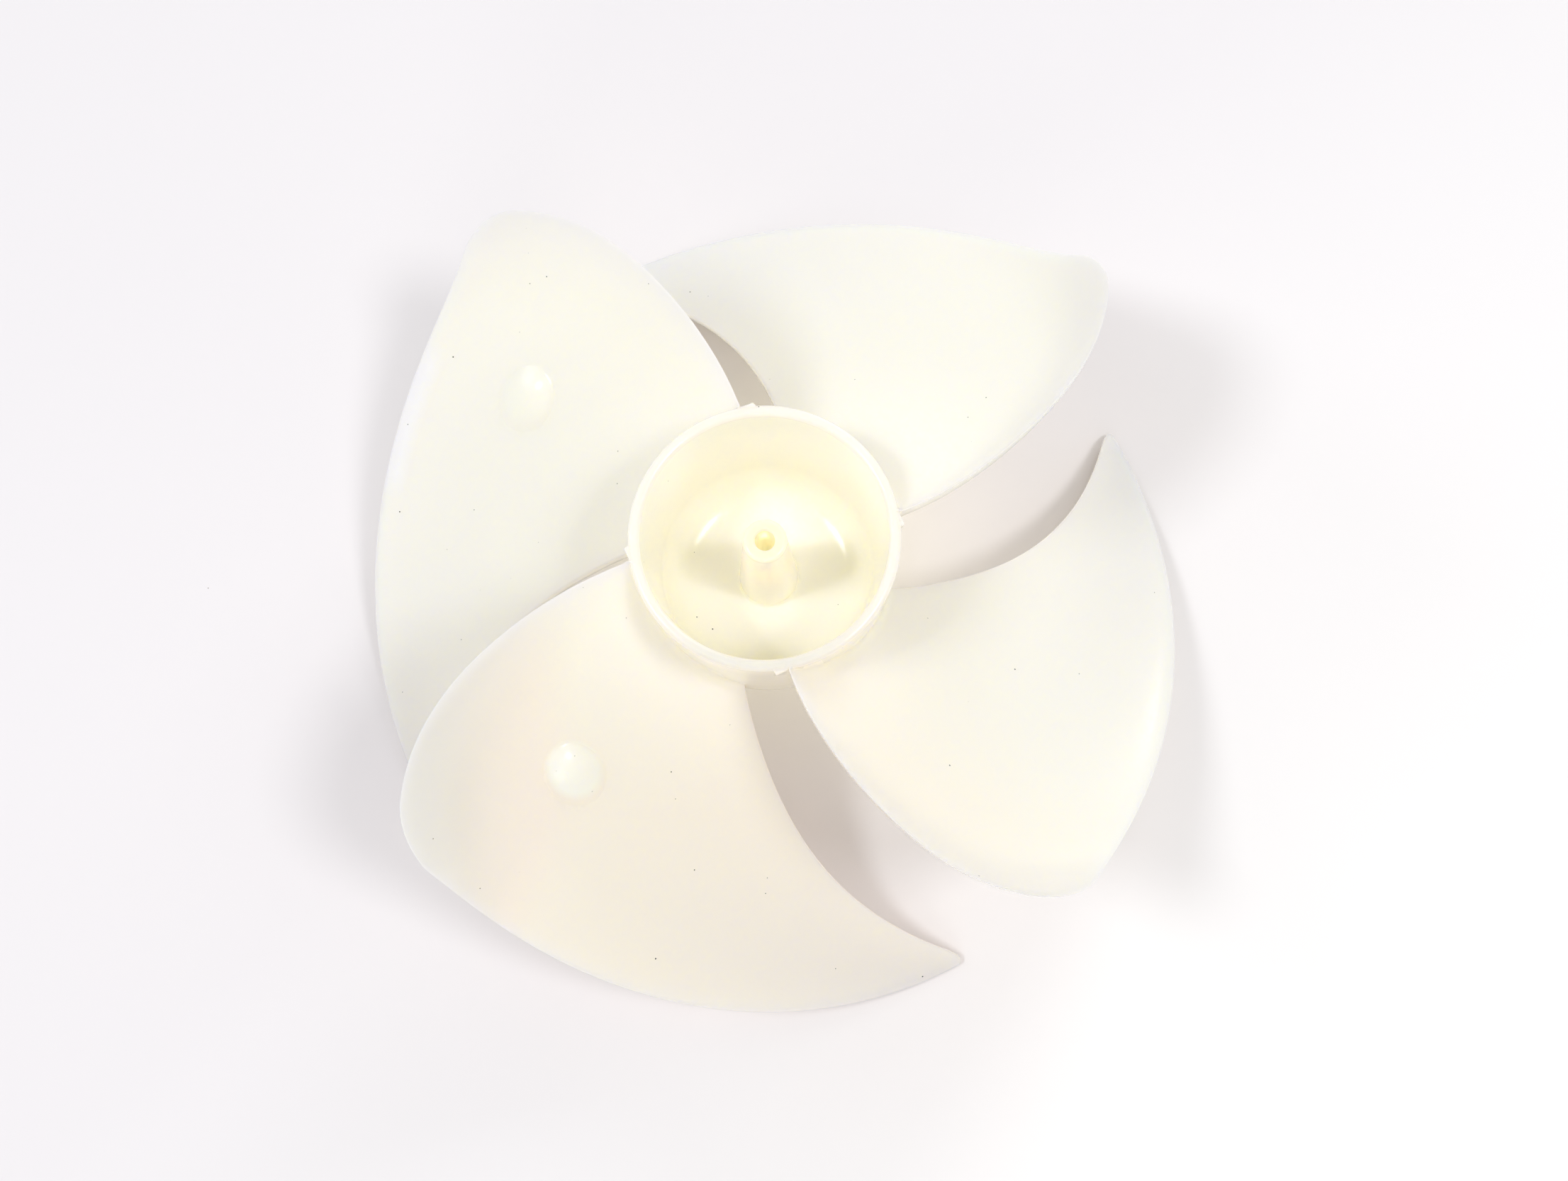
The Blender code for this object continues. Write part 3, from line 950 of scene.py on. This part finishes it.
def plastics():
    """The moulding's plastic, then lit copies of it inside the cup and the bore, where more light comes
    through the walls; their lighter and yellower tones are painted light."""
    finish = bpy.context.scene.fan_finish
    kinds = {
        "moulded_ivory_plastic": (moulding_tone, finish.depth),
        "cup_plastic": (cup_tone, finish.cup_glow),
        "bore_plastic": (bore_tone, finish.bore_glow),
    }
    return [bpy.data.materials.get(name) or ivory_plastic(name, *kind) for name, kind in kinds.items()]


class FAN_OT_hub(bpy.types.Operator):
    """Make the hub cup with its shaft boss"""

    bl_idname = "fan.hub"
    bl_label = "Hub"

    def execute(self, context):
        hub = context.scene.fan_hub
        mesh = turned_mesh("hub", hub_profile(hub), hub.turn_steps, *plastics())
        # The cup and the bore take the lit copies of the plastic
        cup_slot, bore_slot = 1, 2
        mouth = hub.rim_height - hub.boss_depth - hub.bore_round
        bore_end = hub.rim_height - hub.bore_depth - MERGE_DISTANCE
        floor = hub.rim_height - hub.floor_depth - MERGE_DISTANCE
        for face in mesh.polygons:
            radius, height = Vector(face.center[:2]).length, face.center.z
            if radius < hub.bore_radius and bore_end < height < mouth:
                face.material_index = bore_slot
            elif radius < hub.rim_bore and height > floor:
                face.material_index = cup_slot
        new_object("hub", mesh)
        return {"FINISHED"}


class FAN_OT_blades(bpy.types.Operator):
    """Make the blades by their geometry tree"""

    bl_idname = "fan.blades"
    bl_label = "Blades"

    def execute(self, context):
        scene = context.scene
        sizes = sizes_of(scene.fan_hub, scene.fan_blades)
        mesh_from_tree("blades", blade_tree(sizes, plastics()[0]), sizes)
        return {"FINISHED"}


class FAN_OT_teeth(bpy.types.Operator):
    """Make the small teeth on the hub's wall by their geometry tree"""

    bl_idname = "fan.teeth"
    bl_label = "Teeth"

    def execute(self, context):
        scene = context.scene
        sizes = sizes_of(scene.fan_hub, scene.fan_teeth)
        sizes["Count"] = scene.fan_blades.count
        mesh_from_tree("teeth", tooth_tree(sizes, plastics()[0]), sizes)
        return {"FINISHED"}


class FAN_OT_bumps(bpy.types.Operator):
    """Make the low bumps on two of the blades"""

    bl_idname = "fan.bumps"
    bl_label = "Bumps"

    def execute(self, context):
        bumps = context.scene.fan_bumps
        tree = BVHTree.FromObject(bpy.data.objects["blades"], context.evaluated_depsgraph_get())
        for number in range(len(bumps.distances)):
            name = bump_name(number)
            new_object(name, bump_mesh(name, bumps, number, tree, plastics()[0]))
        return {"FINISHED"}


class FAN_OT_fuse(bpy.types.Operator):
    """Fuse hub, blades, teeth and bumps into one moulding"""

    bl_idname = "fan.fuse"
    bl_label = "Fuse Moulding"

    def execute(self, context):
        bump_count = len(context.scene.fan_bumps.distances)
        names = ["blades", "teeth", *(bump_name(number) for number in range(bump_count))]
        shapes = bpy.data.collections.new("shapes_to_fuse")
        for name in names:
            shapes.objects.link(bpy.data.objects[name])
        hub = bpy.data.objects["hub"]
        union = hub.modifiers.new("fuse", "BOOLEAN")
        union.operation = "UNION"
        union.solver = "MANIFOLD"
        union.operand_type = "COLLECTION"
        union.collection = shapes
        mesh = bpy.data.meshes.new_from_object(hub.evaluated_get(context.evaluated_depsgraph_get()))
        mesh.name = "moulding"
        close_up(mesh, MERGE_DISTANCE, drop_degenerate)
        mesh.shade_smooth()
        sharp_angle = radians(35.0)
        mesh.set_sharp_from_angle(angle=sharp_angle)
        for name in (*names, "hub"):
            bpy.data.objects.remove(bpy.data.objects[name], do_unlink=True)
        bpy.data.collections.remove(shapes)
        moulding = new_object("impeller", mesh)
        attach(moulding, CAD_BODY)
        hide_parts(CAD_NODE)
        return {"FINISHED"}


class FAN_OT_stage(bpy.types.Operator):
    """Make the paper floor, the lights, the white surround and the camera"""

    bl_idname = "fan.stage"
    bl_label = "Studio"

    def execute(self, context):
        scene = context.scene
        stage = scene.fan_stage
        make_floor(stage)
        for name, turn, tilt, size, power, tint in SOFT_LIGHTS:
            make_soft_light(name, turn, tilt, size, power * stage.light_power, tint)
        for name, turn, tilt, power in CUP_LIGHTS:
            make_cup_light(name, turn, tilt, power * stage.cup_power)
        make_under_light(stage.under_power)
        make_bore_light(stage.bore_power)
        make_surround(scene, stage.surround)
        make_camera(scene)
        scene.view_settings.view_transform = "Standard"
        return {"FINISHED"}


def make_floor(stage):
    half_width = 1.5
    signs = ((-1, -1), (1, -1), (1, 1), (-1, 1))
    mesh = bpy.data.meshes.new("floor")
    mesh.from_pydata([(half_width * x, half_width * y, 0) for x, y in signs], [], [(0, 1, 2, 3)])
    mesh.materials.append(paper(stage))
    new_object("floor", mesh)


def away(turn, tilt):
    """Unit vector at a turn round the shaft axis and a tilt off it, both in degrees."""
    turn, tilt = radians(turn), radians(tilt)
    return Vector((sin(tilt) * cos(turn), sin(tilt) * sin(turn), cos(tilt)))


def new_light(name, kind, power, tint, **more):
    """Object of a new light, with its other settings by name."""
    light = bpy.data.lights.new(name, kind)
    for setting, value in {"energy": power, "color": tint, **more}.items():
        setattr(light, setting, value)
    return new_object(name, light)


def aim_at(made, place, aim):
    made.location = place
    made.rotation_euler = (aim - place).to_track_quat("-Z", "Y").to_euler()


def make_soft_light(name, turn, tilt, size, power, tint):
    """Soft round light, aimed at the impeller."""
    made = new_light(name, "AREA", power, tint, shape="DISK", size=size)
    aim_at(made, AIM + LIGHT_DISTANCE * away(turn, tilt), AIM)


def make_cup_light(name, turn, tilt, power):
    """Narrow light that keeps the deep cup from looking dark and makes no highlight of its own."""
    mouth = Vector((0.0, 0.0, bpy.context.scene.fan_hub.rim_height))
    cone = {"spot_size": radians(3.5), "spot_blend": 0.35, "shadow_soft_size": 22.0 * MM}
    made = new_light(name, "SPOT", power, CUP_TINT, **cone)
    aim_at(made, mouth + CUP_LIGHT_DISTANCE * away(turn, tilt), mouth)
    made.visible_glossy = False


def make_under_light(power):
    """Warm light under the hub's nose, for what the thin plastic lets through."""
    hub = bpy.context.scene.fan_hub
    left, back, gap = 4.0 * MM, 11.0 * MM, 1.0 * MM
    width = 2.0 * (hub.nose_radius - hub.nose_round)
    made = new_light("under_light", "AREA", power, UNDER_TINT, shape="DISK", size=width)
    made.location = (-left, back, hub.rim_height - hub.nose_depth - gap)


def make_bore_light(power):
    """Amber light inside the bore, for what the boss lets through."""
    hub = bpy.context.scene.fan_hub
    size, inside = 0.5 * MM, 8.0 * MM
    made = new_light("bore_light", "POINT", power, BORE_TINT, shadow_soft_size=size)
    made.location.z = hub.rim_height - hub.boss_depth - inside
    made.visible_camera = False


def make_surround(scene, brightness):
    world = bpy.data.worlds.new("white_surround")
    world.use_nodes = True
    background = world.node_tree.nodes["Background"]
    background.inputs["Color"].default_value = (1.0, 1.0, 1.0, 1.0)
    background.inputs["Strength"].default_value = brightness
    scene.world = world


def make_camera(scene):
    """Camera a little off the axis, looking down into the cup."""
    camera = bpy.data.cameras.new("camera")
    camera.sensor_width = SENSOR_WIDTH
    camera.lens = CAMERA_LENS
    made = new_object("camera", camera)
    made.location = CAMERA_PLACE
    made.rotation_mode = "ZYX"
    made.rotation_euler = (radians(CAMERA_TILT), radians(CAMERA_TURN), 0.0)
    scene.camera = made


class FAN_PT_panel(bpy.types.Panel):
    """Sidebar panel with the impeller's sizes and steps"""

    bl_idname = "FAN_PT_panel"
    bl_label = "Axial fan impeller"
    bl_space_type = "VIEW_3D"
    bl_region_type = "UI"
    bl_category = "Impeller"

    def draw(self, context):
        for operator, setting, kind in STEPS:
            box = self.layout.box()
            box.operator(operator.bl_idname)
            for name in kind.__annotations__:
                box.prop(getattr(context.scene, setting), name, text=label_of(name))


# Operators in the order in which they run, each with its settings
STEPS = (
    (FAN_OT_hub, "fan_hub", HubSizes),
    (FAN_OT_blades, "fan_blades", BladeSizes),
    (FAN_OT_teeth, "fan_teeth", ToothSizes),
    (FAN_OT_bumps, "fan_bumps", BumpSizes),
    (FAN_OT_fuse, "fan_finish", PlasticFinish),
    (FAN_OT_stage, "fan_stage", StageSettings),
)

CLASSES = (*(kind for _, _, kind in STEPS), *(operator for operator, _, _ in STEPS), FAN_PT_panel)


def register():
    for made_class in CLASSES:
        bpy.utils.register_class(made_class)
    for _, setting, kind in STEPS:
        setattr(bpy.types.Scene, setting, bpy.props.PointerProperty(type=kind))


def unregister():
    for _, setting, _ in STEPS:
        delattr(bpy.types.Scene, setting)
    for made_class in reversed(CLASSES):
        bpy.utils.unregister_class(made_class)


def main():
    register()
    for operator, _, _ in STEPS:
        group, name = operator.bl_idname.split(".")
        getattr(getattr(bpy.ops, group), name)()


if __name__ == "__main__":
    main()
